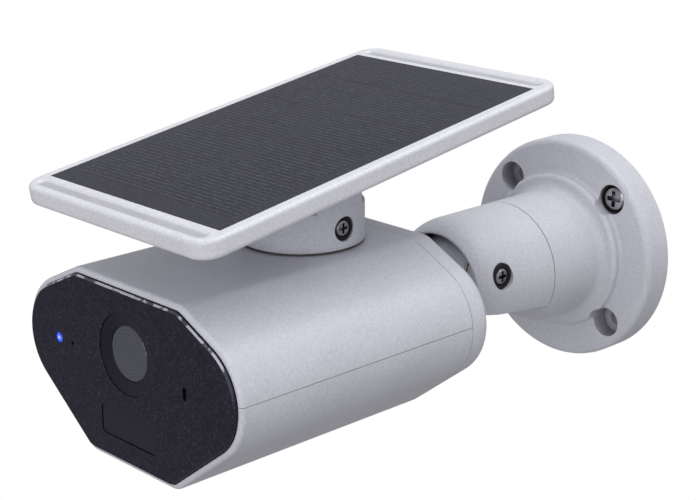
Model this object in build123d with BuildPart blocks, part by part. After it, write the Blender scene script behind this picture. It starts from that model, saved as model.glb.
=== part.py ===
"""Solar-powered security camera on a swivelling wall bracket.

Millimetres. The origin is the centre of the wall plate's back, on the bracket's axis.
+Y points into the wall, the lens looks along -Y and +Z is up.
"""

from build123d import *
from math import cos, radians, sin, sqrt
import os

os.makedirs("parts", exist_ok=True)

# ---------------------------------------------------------------- driving dimensions

# camera body: a six-sided section, widest at the belt
FRONT_Y = -202.0  # glossy front cover
RIM_Y = -200.9  # front edge of the white housing
REBATE_Y = -199.3  # ledge in the housing's mouth that the cover's gasket sits on
CAP_Y = -111.7  # seam of the rear cap
REAR_Y = -103.6  # back of the rear cap
BELT_Z = 9.6  # widest level of the section, where the lens is centred
HALF_TOP, TOP_Z = 23.4, 18.5  # front cover's upper corners, from the belt
HALF_BELT, SIDE_Z = 62.1, -0.2  # its side corners before rounding
HALF_FLOOR, FLOOR_Z = 19.0, -33.5  # its lower corners
TOP_R, SIDE_R, FLOOR_R = 5.0, 16.8, 4.0
RIM_GROW = 1.8  # the housing stands outside the cover by this much
WALL = 2.5
INNER_GROW = RIM_GROW - WALL
SPLIT_Z = 7.8  # parting line of the upper and lower shells
SEAM = 0.12  # open gap left at a parting line

# front cover
COVER_T = 2.2
LENS_R = 8.2
RECESS_R = 12.1
WINDOW_W, WINDOW_H, WINDOW_Z = 25.0, 8.9, BELT_Z - 22.4
LED_X, EYE_X, DOT_Z = -32.5, -25.8, BELT_Z - 3.4
MIC_X, MIC_Z = 26.2, BELT_Z - 4.0

# turret and hinge under the solar panel
TURRET_Y = -135.5
TURRET_R = 19.2
TURRET_TOP = 42.3
SPINDLE_R = 14.6
HINGE_Z = 36.7
FORK_GAP = 14.0  # from the middle to the inside of each ear
EAR_HALF = 9.0
EAR_TOP_R = 19.3
HINGE_SHANK_R = 2.0

# solar panel, in its own frame: x across, y along the slope, z out of the glass
PANEL_TILT = 8.84
PANEL_W, PANEL_L, PANEL_T = 83.6, 143.0, 6.0
PANEL_BACK = 20.1  # height of the panel's back above the hinge
PANEL_SHIFT = 3.5  # the panel's middle behind the hinge, along the slope
CELLS_W, CELLS_L, CELLS_T = 76.4, 124.6, 1.2
CELLS_SHIFT = PANEL_SHIFT - 0.5

# wall bracket
PLATE_R, PLATE_FACE, PAD_T = 39.3, -12.0, 1.0
HOLE_PITCH_R, HOLE_R, COUNTERBORE_R, COUNTERBORE_FLOOR = 31.5, 2.6, 5.2, -5.5
HOOD_R, HOOD_BORE_R = 22.1, 18.3
HOOD_SEAM, RING_Y, HOOD_MOUTH = -40.7, -52.0, -75.5
DOME_Y, MOUTH_R = -66.0, 18.9
UNDERSIDE_FRONT_Z, UNDERSIDE_BACK_Z = -5.0, -9.8  # the hood's flat underside slopes down to the wall
SPIGOT_R, SPIGOT_END = 9.0, -19.7
PIVOT_Y, PIVOT_Z = -66.0, 6.4
PIVOT_SHANK_R = 2.4
CHEEK_GAP = 10.9  # from the middle to the inside of each cheek
STEM_Z, STEM_R, STUD_R = 3.0, 7.5, 5.0

RUNNING = 0.06  # radial clearance of a running fit


# ---------------------------------------------------------------- shared shapes


def facing_front(y, x=0.0, z=0.0):
    """Plane across the camera at y, whose extrusions run forward, along -Y."""
    return Plane(origin=(x, y, z), x_dir=(1, 0, 0), z_dir=(0, -1, 0))


def facing_back(y, x=0.0, z=0.0):
    """Plane across the camera at y, whose extrusions run back, along +Y."""
    return Plane(origin=(x, y, z), x_dir=(-1, 0, 0), z_dir=(0, 1, 0))


def facing_right(x, y=0.0, z=0.0):
    """Plane with local x along +Y and local y up, whose extrusions run along +X."""
    return Plane(origin=(x, y, z), x_dir=(0, 1, 0), z_dir=(1, 0, 0))


def facing_left(x, y=0.0, z=0.0):
    """Plane with local x along -Y and local y up, whose extrusions run along -X."""
    return Plane(origin=(x, y, z), x_dir=(0, -1, 0), z_dir=(-1, 0, 0))


PANEL_PLANE = Plane(
    origin=(0, TURRET_Y, HINGE_Z),
    x_dir=(1, 0, 0),
    z_dir=(0, -sin(radians(PANEL_TILT)), cos(radians(PANEL_TILT))),
)


def body_outline(y, grow=0.0):
    """The body's six-sided section at y, grown outward from the front cover's outline."""
    right = [(HALF_TOP, TOP_Z), (HALF_BELT, SIDE_Z), (HALF_FLOOR, FLOOR_Z)]
    corners = right + [(-x, z) for x, z in reversed(right)]
    with BuildSketch(facing_front(y, z=BELT_Z)) as section:
        with BuildLine():
            FilletPolyline(*corners, radius=[TOP_R, SIDE_R, FLOOR_R, FLOOR_R, SIDE_R, TOP_R], close=True)
        make_face()
        if grow:
            offset(amount=grow)
    return section.sketch


def spun_about_y(profile, x=0.0, z=0.0):
    """A solid of revolution about a line along Y: profile lists (radius, y) corners."""
    with BuildPart() as spun:
        with BuildSketch(Plane(origin=(x, 0, z), x_dir=(1, 0, 0), z_dir=(0, 0, 1))):
            with BuildLine():
                Polyline(*profile, close=True)
            make_face()
        revolve(axis=Axis((x, 0, z), (0, 1, 0)))
    return spun.part


def machine_screw(seat, head_r, head_h, shank_r, length, cross=True):
    """A domed screw standing on the seat plane, its shank running down into the seat."""
    with BuildPart() as screw:
        with BuildSketch(seat):
            Circle(head_r)
        extrude(amount=head_h)
        fillet(screw.faces().sort_by(Axis(seat.origin, seat.z_dir))[-1].edges(), 0.45 * head_h)
        if cross:
            with BuildSketch(seat.offset(head_h)):
                Rectangle(1.25 * head_r, 0.34 * head_r)
                Rectangle(0.34 * head_r, 1.25 * head_r)
            extrude(amount=-0.55 * head_h, mode=Mode.SUBTRACT)
        with BuildSketch(seat):
            Circle(shank_r)
        extrude(amount=-length)
        chamfer(screw.faces().sort_by(Axis(seat.origin, seat.z_dir))[0].edges(), 0.3 * shank_r)
    return screw.part


def finish(piece, name):
    """Label a finished piece and write its file."""
    piece.part.label = name
    export_step(piece.part, f"parts/{name}.step")


# ---------------------------------------------------------------- wall plate and its fixings

HOLE_OFFSET = HOLE_PITCH_R * cos(radians(45))
POCKET_R, POCKET_FLOOR = 13.0, -20.0
BOSS_R, BOSS_TOP = 27.4, -15.6

with BuildPart() as wall_plate:
    with BuildSketch(Plane.XY):
        with BuildLine():
            Polyline(
                (0, -PAD_T), (PLATE_R, -PAD_T), (PLATE_R, PLATE_FACE), (BOSS_R, PLATE_FACE),
                (BOSS_R, BOSS_TOP), (HOOD_R, BOSS_TOP), (HOOD_R, HOOD_SEAM), (0, HOOD_SEAM), close=True,
            )
        make_face()
    revolve(axis=Axis.Y)
    # rim, top of the boss, root of the boss, root of the neck: (radius, y, fillet)
    for ring_r, ring_y, blend in (
        (PLATE_R, PLATE_FACE, 2.2), (BOSS_R, BOSS_TOP, 1.6),
        (BOSS_R, PLATE_FACE, 1.4), (HOOD_R, BOSS_TOP, 3.2),
    ):
        rings = wall_plate.edges().filter_by(GeomType.CIRCLE)
        fillet(rings.filter_by(lambda e: abs(e.radius - ring_r) + abs(e.center().Y - ring_y) < 0.01), blend)
    # swivel bearing, and the pocket behind it for the retaining bolt
    with BuildSketch(facing_front(-PAD_T)):
        Circle(POCKET_R)
    extrude(amount=-PAD_T - POCKET_FLOOR, mode=Mode.SUBTRACT)
    with BuildSketch(facing_front(-PAD_T)):
        Circle(SPIGOT_R + RUNNING)
    extrude(amount=-PAD_T - HOOD_SEAM, mode=Mode.SUBTRACT)
    # the neck's underside is cut away where the hood's flat underside meets it
    with BuildSketch(facing_right(-HOOD_R)):
        with BuildLine():
            Polyline((-42, -11.2), (-29, -22.7), (-29, -30), (-42, -30), close=True)
        make_face()
    extrude(amount=2 * HOOD_R, mode=Mode.SUBTRACT)
    # four counterbored wall holes
    for hole_r, start_y, depth in (
        (HOLE_R, -PAD_T, -PAD_T - PLATE_FACE),
        (COUNTERBORE_R, COUNTERBORE_FLOOR, COUNTERBORE_FLOOR - BOSS_TOP),
    ):
        with BuildSketch(facing_front(start_y)):
            with PolarLocations(HOLE_PITCH_R, 4, start_angle=45):
                Circle(hole_r)
        extrude(amount=depth, mode=Mode.SUBTRACT)
finish(wall_plate, "wall_plate")

with BuildPart() as base_pad:
    with BuildSketch(facing_front(0)):
        Circle(PLATE_R - 1.0)
        with PolarLocations(HOLE_PITCH_R, 4, start_angle=45):
            Circle(HOLE_R + 0.4, mode=Mode.SUBTRACT)
    extrude(amount=PAD_T)
finish(base_pad, "base_pad")

SCREW_SEAL_T, SCREW_HEAD_R, SCREW_HEAD_H = 2.2, 4.5, 3.3

with BuildPart() as wall_screw_seal:
    with BuildSketch(facing_front(COUNTERBORE_FLOOR, HOLE_OFFSET, HOLE_OFFSET)):
        Circle(COUNTERBORE_R - 0.1)
        Circle(2.2, mode=Mode.SUBTRACT)
    extrude(amount=SCREW_SEAL_T)
    with BuildSketch(facing_front(COUNTERBORE_FLOOR, HOLE_OFFSET, HOLE_OFFSET)):
        Circle(COUNTERBORE_R - 0.1)
        Circle(SCREW_HEAD_R + 0.05, mode=Mode.SUBTRACT)
    extrude(amount=SCREW_SEAL_T + SCREW_HEAD_H)
finish(wall_screw_seal, "wall_screw_seal")

with BuildPart() as wall_screw:
    seat = facing_front(COUNTERBORE_FLOOR - SCREW_SEAL_T, HOLE_OFFSET, HOLE_OFFSET)
    add(machine_screw(seat, SCREW_HEAD_R, SCREW_HEAD_H, 2.1, 5.2 + SCREW_SEAL_T))
finish(wall_screw, "wall_screw")

# ---------------------------------------------------------------- swivelling hood

PIVOT_HEAD_R, PIVOT_HEAD_H, PIVOT_RECESS_R, PIVOT_SEAT = 3.0, 3.2, 4.4, 17.4
PIVOT_NUT_R, PIVOT_NUT_SEAT, PIVOT_NUT_T = 4.6, -14.4, 3.4
BOLT_R, BOLT_DEPTH = 2.5, 14.0
WASHER_T = 1.5
HOOD_BACK = HOOD_SEAM - 0.3

with BuildPart() as pivot_bosses:
    with BuildSketch(facing_right(CHEEK_GAP, PIVOT_Y, PIVOT_Z)):
        Circle(6.5)
    extrude(amount=HOOD_R - CHEEK_GAP)
    mirror(about=Plane.YZ)
    with BuildSketch(facing_front(PIVOT_Y + 10)):
        Circle(0.5 * (HOOD_R + HOOD_BORE_R))
    extrude(amount=20, mode=Mode.INTERSECT)

with BuildPart() as hood:
    with BuildSketch(Plane.XY):
        with BuildLine():
            Polyline(
                (MOUTH_R, HOOD_MOUTH), (0, HOOD_MOUTH), (0, SPIGOT_END), (SPIGOT_R, SPIGOT_END),
                (SPIGOT_R, HOOD_BACK), (HOOD_R, HOOD_BACK), (HOOD_R, DOME_Y),
            )
            TangentArc((HOOD_R, DOME_Y), (MOUTH_R, HOOD_MOUTH), tangent=(0, -1))
        make_face()
    revolve(axis=Axis.Y)
    with BuildSketch(facing_front(RING_Y + 2.6)):
        Circle(HOOD_BORE_R)
    extrude(amount=RING_Y + 2.6 - HOOD_MOUTH, mode=Mode.SUBTRACT)
    add(pivot_bosses.part)
    # open underside, for the arm to swing down through
    with BuildSketch(facing_right(-HOOD_R)):
        with BuildLine():
            Polyline(
                (HOOD_MOUTH, UNDERSIDE_FRONT_Z), (HOOD_BACK, UNDERSIDE_BACK_Z),
                (HOOD_BACK, -1.2 * HOOD_R), (HOOD_MOUTH, -1.2 * HOOD_R), close=True,
            )
        make_face()
    extrude(amount=2 * HOOD_R, mode=Mode.SUBTRACT)
    # pivot screw: recess, shank and nut pocket
    with BuildSketch(facing_right(PIVOT_SEAT, PIVOT_Y, PIVOT_Z)):
        Circle(PIVOT_RECESS_R)
    extrude(amount=HOOD_R - PIVOT_SEAT, mode=Mode.SUBTRACT)
    with BuildSketch(facing_left(PIVOT_NUT_SEAT, PIVOT_Y, PIVOT_Z)):
        RegularPolygon(PIVOT_NUT_R + 0.1, 6)
    extrude(amount=HOOD_R + PIVOT_NUT_SEAT, mode=Mode.SUBTRACT)
    with BuildSketch(facing_right(-HOOD_R, PIVOT_Y, PIVOT_Z)):
        Circle(PIVOT_SHANK_R)
    extrude(amount=2 * HOOD_R, mode=Mode.SUBTRACT)
    with BuildSketch(facing_front(SPIGOT_END)):
        Circle(BOLT_R)
    extrude(amount=BOLT_DEPTH, mode=Mode.SUBTRACT)
finish(hood, "hood")

with BuildPart() as pivot_screw:
    add(machine_screw(
        facing_right(PIVOT_SEAT, PIVOT_Y, PIVOT_Z), PIVOT_HEAD_R, PIVOT_HEAD_H, PIVOT_SHANK_R,
        PIVOT_SEAT - PIVOT_NUT_SEAT + PIVOT_NUT_T + 0.4,
    ))
finish(pivot_screw, "pivot_screw")

with BuildPart() as pivot_seal:
    with BuildSketch(facing_right(PIVOT_SEAT, PIVOT_Y, PIVOT_Z)):
        Circle(PIVOT_RECESS_R - 0.05)
        Circle(PIVOT_HEAD_R + 0.1, mode=Mode.SUBTRACT)
    extrude(amount=PIVOT_HEAD_H - 0.2)
finish(pivot_seal, "pivot_seal")


def hex_nut(seat, corner_r, thickness, bore_r):
    """A chamfered hexagon nut standing on the seat plane."""
    with BuildPart() as nut:
        with BuildSketch(seat):
            RegularPolygon(corner_r, 6)
        extrude(amount=thickness)
        with BuildSketch(seat):
            Circle(corner_r - 0.15)
        extrude(amount=thickness, mode=Mode.INTERSECT)
        with BuildSketch(seat):
            Circle(bore_r)
        extrude(amount=thickness, mode=Mode.SUBTRACT)
    return nut.part


with BuildPart() as pivot_nut:
    add(hex_nut(facing_left(PIVOT_NUT_SEAT, PIVOT_Y, PIVOT_Z), PIVOT_NUT_R, PIVOT_NUT_T, PIVOT_SHANK_R))
finish(pivot_nut, "pivot_nut")

with BuildPart() as swivel_washer:
    with BuildSketch(facing_back(SPIGOT_END)):
        Circle(POCKET_R - 1.0)
        Circle(BOLT_R, mode=Mode.SUBTRACT)
    extrude(amount=WASHER_T)
finish(swivel_washer, "swivel_washer")

with BuildPart() as swivel_bolt:
    add(machine_screw(facing_back(SPIGOT_END + WASHER_T), 5.0, 3.6, BOLT_R, BOLT_DEPTH))
finish(swivel_bolt, "swivel_bolt")

# ---------------------------------------------------------------- knuckle arm

KNUCKLE_HALF, KNUCKLE_ARCH_R = 9.8, 16.7
FRICTION_T, FRICTION_R = 0.8, 7.0
STEM_END, STUD_END = -97.1, -112.3
COLLAR_R, COLLAR_T = 9.0, 3.0
LOCK_R, LOCK_T, LOCK_NOTCHES = 11.0, 6.0, 24

with BuildPart() as knuckle_arm:
    # the knuckle follows the arch of the hood, so it is a barrel about the pivot
    with BuildSketch(facing_front(PIVOT_Y, z=PIVOT_Z)):
        with BuildLine():
            side_r = sqrt(KNUCKLE_ARCH_R**2 - KNUCKLE_HALF**2) - PIVOT_Z
            Polyline((KNUCKLE_HALF, side_r), (KNUCKLE_HALF, 0), (-KNUCKLE_HALF, 0), (-KNUCKLE_HALF, side_r))
            ThreePointArc((-KNUCKLE_HALF, side_r), (0, KNUCKLE_ARCH_R - PIVOT_Z), (KNUCKLE_HALF, side_r))
        make_face()
    revolve(axis=Axis((0, PIVOT_Y, PIVOT_Z), (1, 0, 0)))
    for rod_r, rod_start, rod_end in (
        (STEM_R, PIVOT_Y, STEM_END), (COLLAR_R, STEM_END + COLLAR_T, STEM_END), (STUD_R, STEM_END, STUD_END),
    ):
        with BuildSketch(facing_front(rod_start, z=STEM_Z)):
            Circle(rod_r)
        extrude(amount=rod_start - rod_end)
    with BuildSketch(facing_right(-KNUCKLE_HALF, PIVOT_Y, PIVOT_Z)):
        Circle(PIVOT_SHANK_R + RUNNING)
    extrude(amount=2 * KNUCKLE_HALF, mode=Mode.SUBTRACT)
finish(knuckle_arm, "knuckle_arm")

with BuildPart() as friction_washers:
    with BuildSketch(facing_right(KNUCKLE_HALF, PIVOT_Y, PIVOT_Z)):
        Circle(FRICTION_R)
        Circle(PIVOT_SHANK_R + RUNNING, mode=Mode.SUBTRACT)
    extrude(amount=FRICTION_T)
    mirror(about=Plane.YZ)
finish(friction_washers, "friction_washers")

with BuildPart() as lock_ring:
    with BuildSketch(facing_front(STEM_END, z=STEM_Z)):
        Circle(LOCK_R)
        Circle(STUD_R, mode=Mode.SUBTRACT)
        with PolarLocations(LOCK_R, LOCK_NOTCHES):
            Circle(0.6, mode=Mode.SUBTRACT)
    extrude(amount=LOCK_T)
finish(lock_ring, "lock_ring")

# ---------------------------------------------------------------- housing shells

SHELL_BACK = CAP_Y - SEAM
SHELL_L = SHELL_BACK - RIM_Y
BOARD_POSTS = [(x, y) for x in (-25.0, 25.0) for y in (-176.0, -122.0)]
CAP_POSTS = [(-20.0, 24.2), (20.0, 24.2), (-17.0, -19.7), (17.0, -19.7)]
BOARD_POST_R, CAP_POST_R, CAP_POST_L = 2.6, 4.0, 7.0
BOARD_TOP = 18.6
HOUSING_TOP = BELT_Z + TOP_Z + RIM_GROW
BEARING_R = 16.0
LIP_BACK, LIP_L, LIP_H = -118.0, 77.0, 2.0
LIP_OUT, LIP_IN = 0.9, 1.8  # the tongue stands between these depths in the wall

# the hollow inside both shells, with the screw posts left standing in it
with BuildPart() as cavity:
    extrude(body_outline(SHELL_BACK, INNER_GROW), amount=SHELL_L)
    with BuildSketch(Plane.XY.offset(BOARD_TOP)):
        with Locations(*BOARD_POSTS):
            Circle(BOARD_POST_R)
    extrude(amount=20, mode=Mode.SUBTRACT)
    with BuildSketch(facing_front(SHELL_BACK)):
        with Locations(*CAP_POSTS):
            Circle(CAP_POST_R)
    extrude(amount=CAP_POST_L, mode=Mode.SUBTRACT)

# both shells before they are parted: rounded front edge, hollow, and a ledge for the cover
with BuildPart() as housing:
    extrude(body_outline(SHELL_BACK, RIM_GROW), amount=SHELL_L)
    fillet(housing.faces().sort_by(Axis.Y)[0].edges(), 1.4)
    add(cavity.part, mode=Mode.SUBTRACT)
    extrude(body_outline(REBATE_Y, 0.2), amount=REBATE_Y - RIM_Y, mode=Mode.SUBTRACT)


def drill(plane, places, radius, depth):
    """Round pegs or bores at the places on a plane, for the open builder to add or subtract."""
    with BuildPart() as holes:
        with BuildSketch(plane):
            with Locations(*places):
                Circle(radius)
        extrude(amount=depth)
    return holes.part


def tongue(slack):
    """Band standing in the middle of the wall along the parting line, fatter by the slack."""
    back, length = LIP_BACK + slack, LIP_L + 2 * slack
    with BuildPart() as band:
        extrude(body_outline(back, RIM_GROW - LIP_OUT + slack), amount=length)
        extrude(body_outline(back, RIM_GROW - LIP_IN - slack), amount=length, mode=Mode.SUBTRACT)
        with BuildSketch(Plane.XY.offset(SPLIT_Z - LIP_H)):
            with Locations((0, back - 0.5 * length)):
                Rectangle(3 * HALF_BELT, 2 * length)
        extrude(amount=2 * LIP_H + slack, mode=Mode.INTERSECT)
    return band.part


with BuildPart() as upper_shell:
    add(housing.part)
    split(bisect_by=Plane.XY.offset(SPLIT_Z + 0.5 * SEAM), keep=Keep.TOP)
    add(tongue(0.1), mode=Mode.SUBTRACT)
    add(drill(Plane.XY.offset(BOARD_TOP), BOARD_POSTS, 1.0, 6.0), mode=Mode.SUBTRACT)
    add(drill(facing_front(SHELL_BACK), CAP_POSTS, 1.35, 6.0), mode=Mode.SUBTRACT)
    add(drill(Plane.XY.offset(HOUSING_TOP), [(0, TURRET_Y)], BEARING_R, -2 * WALL), mode=Mode.SUBTRACT)
finish(upper_shell, "upper_shell")

with BuildPart() as lower_shell:
    add(housing.part)
    split(bisect_by=Plane.XY.offset(SPLIT_Z - 0.5 * SEAM), keep=Keep.BOTTOM)
    add(tongue(0))
    add(drill(facing_front(SHELL_BACK), CAP_POSTS, 1.35, 6.0), mode=Mode.SUBTRACT)
finish(lower_shell, "lower_shell")

# ---------------------------------------------------------------- rear cap, with its port and speaker

PORT_Z, PORT_HALF_W, PORT_HALF_H, PORT_FLOOR = -16.4, 10.5, 4.4, -110.0
PORT_BLOCK_W, PORT_BLOCK_H = 2 * PORT_HALF_W + 3.6, 2 * PORT_HALF_H + 3.2
PORT_BACKING = -115.6
BUTTON_STEP = -111.6  # where the button's bore widens for its collar
BUTTON_X, BUTTON_R, SOCKET_X, SOCKET_W, SOCKET_H = 6.5, 1.3, -2.6, 9.0, 3.3
CAP_INNER = -106.4
BOSS_END, INSERT_R = -113.8, 7.0
CAP_SCREW_SEAT = -106.0
FLAP_HINGE_Y, FLAP_HINGE_Z = REAR_Y - 0.8, PORT_Z - 3.3
FLAP_PIN_R, FLAP_PIN_L = 0.45, 0.7
SPEAKER_X, SPEAKER_Z, SPEAKER_R = 28.0, 6.0, 9.0

with BuildPart() as rear_cap:
    extrude(body_outline(REAR_Y, RIM_GROW), amount=REAR_Y - CAP_Y)
    fillet(rear_cap.faces().sort_by(Axis.Y)[-1].edges(), 3.5)
    extrude(body_outline(CAP_INNER, -2.5), amount=CAP_INNER - CAP_Y, mode=Mode.SUBTRACT)
    extrude(body_outline(CAP_Y, -0.9), amount=3.0)
    extrude(body_outline(CAP_Y, -2.5), amount=3.0, mode=Mode.SUBTRACT)
    add(drill(facing_front(CAP_Y), CAP_POSTS, CAP_POST_R + 0.3, 4.0), mode=Mode.SUBTRACT)
    # bosses for the four screws and the stem
    add(drill(facing_front(CAP_INNER), CAP_POSTS, 3.8, CAP_INNER - CAP_Y))
    add(drill(facing_front(CAP_INNER), [(0, STEM_Z)], INSERT_R + 2.5, CAP_INNER - BOSS_END))
    add(drill(facing_front(REAR_Y), [(0, STEM_Z)], INSERT_R, 20), mode=Mode.SUBTRACT)
    add(drill(facing_front(REAR_Y), CAP_POSTS, 1.6, 10), mode=Mode.SUBTRACT)
    add(drill(facing_front(REAR_Y), CAP_POSTS, 2.9, REAR_Y - CAP_SCREW_SEAT), mode=Mode.SUBTRACT)
    # window for the port's housing
    with BuildSketch(facing_front(REAR_Y, z=PORT_Z)):
        RectangleRounded(PORT_BLOCK_W, PORT_BLOCK_H, 1.0)
    extrude(amount=REAR_Y - PORT_BACKING, mode=Mode.SUBTRACT)
    # speaker grille
    with BuildSketch(facing_front(REAR_Y, SPEAKER_X, SPEAKER_Z)):
        Circle(0.7)
        with PolarLocations(2.7, 6):
            Circle(0.7)
        with PolarLocations(5.4, 12):
            Circle(0.7)
    extrude(amount=REAR_Y - CAP_INNER, mode=Mode.SUBTRACT)
finish(rear_cap, "rear_cap")

with BuildPart() as port_housing:
    with BuildSketch(facing_front(REAR_Y, z=PORT_Z)):
        RectangleRounded(PORT_BLOCK_W, PORT_BLOCK_H, 1.0)
    extrude(amount=REAR_Y - PORT_BACKING)
    # recess with the flap's pin holes, the socket and the button's stepped bore
    with BuildSketch(facing_front(REAR_Y, z=PORT_Z)):
        RectangleRounded(2 * PORT_HALF_W, 2 * PORT_HALF_H, 0.3)
    extrude(amount=REAR_Y - PORT_FLOOR, mode=Mode.SUBTRACT)
    with BuildSketch(facing_right(-PORT_HALF_W - FLAP_PIN_L, FLAP_HINGE_Y, FLAP_HINGE_Z)):
        Circle(FLAP_PIN_R + RUNNING)
    extrude(amount=2 * (PORT_HALF_W + FLAP_PIN_L), mode=Mode.SUBTRACT)
    with BuildSketch(facing_front(PORT_FLOOR, SOCKET_X, PORT_Z)):
        RectangleRounded(SOCKET_W, SOCKET_H, 1.4)
    extrude(amount=PORT_FLOOR - PORT_BACKING, mode=Mode.SUBTRACT)
    add(drill(facing_front(PORT_FLOOR), [(BUTTON_X, PORT_Z)], BUTTON_R + RUNNING, 6), mode=Mode.SUBTRACT)
    add(drill(facing_front(BUTTON_STEP), [(BUTTON_X, PORT_Z)], 2.3, 6), mode=Mode.SUBTRACT)
finish(port_housing, "port_housing")

with BuildPart() as cap_screws:
    for post_x, post_z in CAP_POSTS:
        add(machine_screw(facing_back(CAP_SCREW_SEAT, post_x, post_z), 2.6, 1.7, 1.35, 9.2))
finish(cap_screws, "cap_screws")

with BuildPart() as stem_insert:
    with BuildSketch(facing_front(REAR_Y - 0.2, z=STEM_Z)):
        Circle(INSERT_R)
        Circle(STUD_R + RUNNING, mode=Mode.SUBTRACT)
    extrude(amount=REAR_Y - 0.2 - BOSS_END)
finish(stem_insert, "stem_insert")

with BuildPart() as speaker:
    with BuildSketch(facing_front(CAP_INNER, SPEAKER_X, SPEAKER_Z)):
        Circle(SPEAKER_R)
    extrude(amount=3.0)
    with BuildSketch(facing_front(CAP_INNER - 3.0, SPEAKER_X, SPEAKER_Z)):
        Circle(0.6 * SPEAKER_R)
    extrude(amount=2.4)
finish(speaker, "speaker")

with BuildPart() as usb_socket:
    with BuildSketch(facing_front(PORT_FLOOR, SOCKET_X, PORT_Z)):
        RectangleRounded(SOCKET_W, SOCKET_H, 1.4)
    extrude(amount=PORT_FLOOR - PORT_BACKING)
    with BuildSketch(facing_front(PORT_FLOOR, SOCKET_X, PORT_Z)):
        RectangleRounded(SOCKET_W - 0.7, SOCKET_H - 0.7, 1.1)
        Rectangle(SOCKET_W - 2.4, 0.7, mode=Mode.SUBTRACT)
    extrude(amount=4.8, mode=Mode.SUBTRACT)
finish(usb_socket, "usb_socket")

with BuildPart() as port_board:
    with BuildSketch(facing_front(PORT_BACKING)):
        with Locations((0, PORT_Z)):
            Rectangle(22.0, 11.0)
    extrude(amount=1.0)
    with BuildSketch(facing_back(PORT_BACKING)):
        with Locations((-BUTTON_X, PORT_Z)):
            Circle(1.8)
    extrude(amount=2.0)
finish(port_board, "port_board")

with BuildPart() as reset_button:
    collar_y = BUTTON_STEP - 0.4
    for pin_r, pin_start, pin_end in (
        (BUTTON_R, PORT_FLOOR + 0.1, collar_y), (2.0, collar_y, collar_y - 0.8),
    ):
        with BuildSketch(facing_front(pin_start, BUTTON_X, PORT_Z)):
            Circle(pin_r)
        extrude(amount=pin_start - pin_end)
    fillet(reset_button.faces().sort_by(Axis.Y)[-1].edges(), 0.3)
finish(reset_button, "reset_button")

FLAP_T, FLAP_HALF_W, FLAP_TOP = 1.5, 10.2, PORT_Z + PORT_HALF_H - 0.35

with BuildPart() as port_flap:
    with BuildSketch(facing_right(-FLAP_HALF_W, FLAP_HINGE_Y, FLAP_HINGE_Z)):
        Circle(0.5 * FLAP_T)
        with Locations((0, 0.5 * (FLAP_TOP - FLAP_HINGE_Z))):
            Rectangle(FLAP_T, FLAP_TOP - FLAP_HINGE_Z)
    extrude(amount=2 * FLAP_HALF_W)
    with BuildSketch(facing_right(-FLAP_HALF_W - FLAP_PIN_L, FLAP_HINGE_Y, FLAP_HINGE_Z)):
        Circle(FLAP_PIN_R)
    extrude(amount=2 * (FLAP_HALF_W + FLAP_PIN_L))
    # finger notch in the upper edge
    with BuildSketch(facing_front(FLAP_HINGE_Y + 0.5 * FLAP_T)):
        with Locations((0, FLAP_TOP)):
            Rectangle(5.0, 1.6)
    extrude(amount=0.7, mode=Mode.SUBTRACT)
finish(port_flap, "port_flap")

# ---------------------------------------------------------------- front cover and what looks through it

COVER_BACK = FRONT_Y + COVER_T
BOARD_Y, BOARD_T = -192.0, 1.2
EYE_R, LED_R = 0.7, 1.6
FRONT_POSTS = [(-20.0, BELT_Z + 9.5), (20.0, BELT_Z + 9.5), (-22.0, BELT_Z - 16), (22.0, BELT_Z - 16)]

with BuildPart() as front_cover:
    extrude(body_outline(COVER_BACK), amount=COVER_T)
    chamfer(front_cover.faces().sort_by(Axis.Y)[0].edges(), 0.5)
    extrude(body_outline(COVER_BACK + 3.6, -1.6), amount=3.6)
    extrude(body_outline(COVER_BACK + 3.6, -3.2), amount=3.6, mode=Mode.SUBTRACT)
    add(drill(facing_front(BOARD_Y), FRONT_POSTS, 2.4, BOARD_Y - COVER_BACK))
    add(drill(facing_front(BOARD_Y), FRONT_POSTS, 1.0, 6.0), mode=Mode.SUBTRACT)
    with BuildSketch(facing_front(COVER_BACK)):
        with Locations((0, BELT_Z)):
            Circle(RECESS_R + 0.15)
        with Locations((0, WINDOW_Z)):
            RectangleRounded(WINDOW_W + 0.3, WINDOW_H + 0.3, 1.5)
        with Locations((LED_X, DOT_Z)):
            Circle(LED_R + 0.1)
        with Locations((EYE_X, DOT_Z)):
            Circle(EYE_R)
        with Locations((MIC_X, MIC_Z)):
            SlotOverall(4.0, 1.9, rotation=90)
    extrude(amount=COVER_T, mode=Mode.SUBTRACT)
finish(front_cover, "front_cover")

with BuildPart() as cover_gasket:
    extrude(body_outline(REBATE_Y, -0.1), amount=REBATE_Y - COVER_BACK)
    extrude(body_outline(REBATE_Y, -1.6), amount=REBATE_Y - COVER_BACK, mode=Mode.SUBTRACT)
finish(cover_gasket, "cover_gasket")

with BuildPart() as lens_bezel:
    add(spun_about_y([
        (LENS_R + 0.1, -200.6), (RECESS_R, -201.75), (RECESS_R, COVER_BACK), (14.4, COVER_BACK),
        (14.4, -197.6), (7.2, -197.6), (7.2, -199.4), (LENS_R + 0.1, -199.4),
    ], z=BELT_Z))
finish(lens_bezel, "lens_bezel")

with BuildPart() as lens_window:
    add(spun_about_y([(0, -200.6), (LENS_R, -200.6), (LENS_R, -199.4), (0, -199.4)], z=BELT_Z))
    chamfer(lens_window.faces().sort_by(Axis.Y)[0].edges(), 0.25)
finish(lens_window, "lens_window")

with BuildPart() as lens_barrel:
    add(spun_about_y([
        (6.2, -198.8), (7.0, -198.8), (7.0, -186.0), (3.4, -186.0), (3.4, -191.0), (4.9, -194.8),
    ], z=BELT_Z))
finish(lens_barrel, "lens_barrel")

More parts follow.
